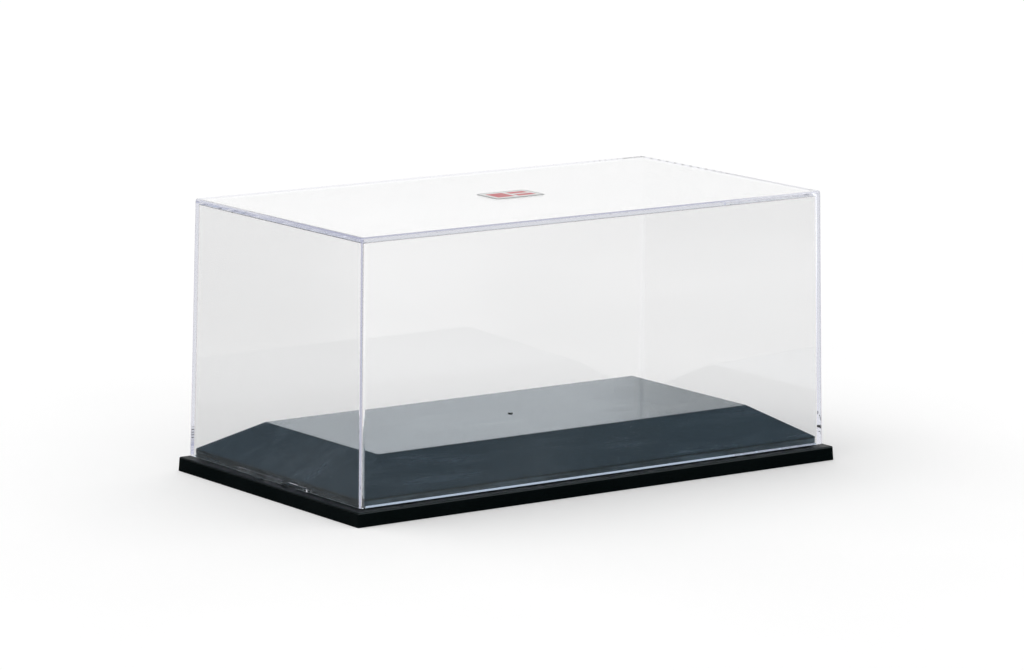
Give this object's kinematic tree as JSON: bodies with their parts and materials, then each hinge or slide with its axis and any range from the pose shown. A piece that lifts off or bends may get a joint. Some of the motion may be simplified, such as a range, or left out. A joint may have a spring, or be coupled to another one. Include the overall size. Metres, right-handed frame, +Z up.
{
  "type": "display case",
  "caption": "Rectangular display case for a scale model: a clear lift-off cover with finger lips stands on a hollow black plinth with sloping sides and a flat deck.",
  "frame": {"origin": "centre of the plinth's footprint, on the surface that the case stands on", "axes": "+X along the long side, +Y across towards the back long side, +Z up through the cover's top"},
  "size_m": [0.2468, 0.1368, 0.117],
  "materials": {
    "black_plastic": "gloss black moulded polystyrene",
    "clear_plastic": "polished clear moulded polystyrene",
    "label_film": "printed adhesive film"
  },
  "bodies": {
    "base": {"base_plinth": "black_plastic"},
    "cover": {"clear_cover": "clear_plastic", "top_label": "label_film"}
  },
  "joints": [
    {"name": "cover_lift", "type": "slide", "parent": "base", "child": "cover", "axis": [0, 0, 1], "range_m": [0, 0.13]}
  ]
}
